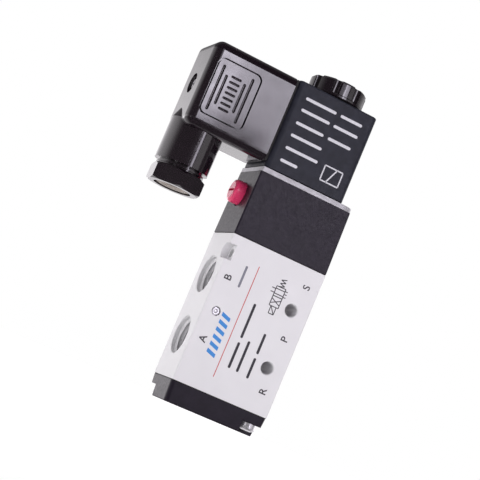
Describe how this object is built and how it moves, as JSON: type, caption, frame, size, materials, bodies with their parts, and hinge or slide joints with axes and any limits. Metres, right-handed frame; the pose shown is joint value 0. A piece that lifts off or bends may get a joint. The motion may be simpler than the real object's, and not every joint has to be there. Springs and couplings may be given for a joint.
{
  "type": "solenoid directional valve",
  "caption": "Pilot-operated five-port air valve: ported block, black pilot section with red push-and-turn override, encapsulated coil and plug connector with cable gland.",
  "frame": {"origin": "centre of the end cover's bottom face, on the spool's axis", "axes": "+Z along the spool from the end cover to the coil, -Y out of the printed face, -X towards the two outlet ports, the override and the plug connector"},
  "size_m": [0.0671, 0.022, 0.1201],
  "materials": {
    "anodised_aluminium": "matt silver anodised, fine grain",
    "pilot_plastic": "black glass-filled moulding, fine texture",
    "coil_plastic": "black thermoset encapsulation, matt",
    "plug_plastic": "glossy black moulding",
    "carrier_plastic": "dark grey moulding",
    "bobbin_plastic": "natural moulding",
    "override_red": "red moulding, satin",
    "steel": "bright zinc-plated",
    "zinc_plate": "dull zinc plate, rolled",
    "spring_steel": "drawn wire",
    "stainless": "turned stainless",
    "spool_metal": "turned and ground",
    "brass": "turned",
    "copper": "enamelled copper wire",
    "black_rubber": "nitrile rubber",
    "grey_rubber": "beige-grey rubber",
    "guide_plastic": "low-friction polymer"
  },
  "bodies": {
    "valve": {"valve_body": "anodised_aluminium", "gallery_plug": "steel", "end_cover": "pilot_plastic", "end_cover_gasket": "black_rubber", "end_cover_screws": "steel", "return_spring": "spring_steel", "pilot_gasket": "black_rubber", "pilot_body": "pilot_plastic", "orifice_seat": "brass", "tube_seal": "black_rubber", "override_pin": "spring_steel", "override_spring": "spring_steel", "pilot_screws": "steel", "flange_plate": "zinc_plate", "armature_tube": "stainless", "fixed_core": "stainless", "shading_ring": "copper", "coil_washer": "black_rubber", "coil_seal": "black_rubber"},
    "spool": {"spool": "spool_metal", "spool_seals": "black_rubber"},
    "piston": {"pilot_piston": "spool_metal", "piston_seal": "black_rubber", "piston_wear_ring": "guide_plastic"},
    "plunger": {"plunger": "stainless", "plunger_seal": "black_rubber", "plunger_spring": "spring_steel"},
    "override_carrier": {"override_seal": "black_rubber"},
    "override": {"override_button": "override_red"},
    "coil": {"coil_housing": "coil_plastic", "coil_terminals": "steel", "coil_insert": "brass", "magnet_yoke": "steel", "coil_bobbin": "bobbin_plastic", "coil_winding": "copper", "connector_housing": "plug_plastic", "connector_screw_seal": "black_rubber", "connector_screw": "steel", "connector_gasket": "black_rubber", "contact_carrier": "carrier_plastic", "clamp_contacts": "brass", "clamp_screws": "steel", "gland_grommet": "grey_rubber", "gland_washer": "carrier_plastic"},
    "coil_nut": {"coil_nut": "plug_plastic"},
    "gland_nut": {"gland_nut": "plug_plastic"}
  },
  "joints": [
    {"name": "spool_slide", "type": "slide", "parent": "valve", "child": "spool", "axis": [0, 0, 1], "range_m": [-0.003, 0], "stiffness_N_per_m": 600, "springref_m": 0.004, "deforming": ["return_spring"]},
    {"name": "piston_slide", "type": "slide", "parent": "valve", "child": "piston", "axis": [0, 0, 1], "range_m": [-0.003, 0]},
    {"name": "plunger_lift", "type": "slide", "parent": "valve", "child": "plunger", "axis": [0, 0, 1], "range_m": [0, 0.001], "stiffness_N_per_m": 300, "springref_m": -0.004, "deforming": ["plunger_spring"]},
    {"name": "override_push", "type": "slide", "parent": "valve", "child": "override_carrier", "axis": [1, 0, 0], "range_m": [0, 0.0015], "stiffness_N_per_m": 800, "springref_m": -0.0015, "deforming": ["override_spring"]},
    {"name": "override_turn", "type": "hinge", "parent": "override_carrier", "child": "override", "pos_m": [-0.0175, 0, 0.0724], "axis": [1, 0, 0], "range_deg": [0, 90]},
    {"name": "coil_swivel", "type": "hinge", "parent": "valve", "child": "coil", "pos_m": [0, 0, 0.097], "axis": [0, 0, 1], "continuous": true},
    {"name": "coil_nut_turn", "type": "hinge", "parent": "valve", "child": "coil_nut", "pos_m": [0, 0, 0.117], "axis": [0, 0, 1], "continuous": true},
    {"name": "gland_nut_turn", "type": "hinge", "parent": "coil", "child": "gland_nut", "pos_m": [-0.0397, 0, 0.067], "axis": [0, 0, 1], "continuous": true}
  ],
  "couplings": [
    {"joint": "piston_slide", "follows": "spool_slide", "ratio": 1}
  ]
}
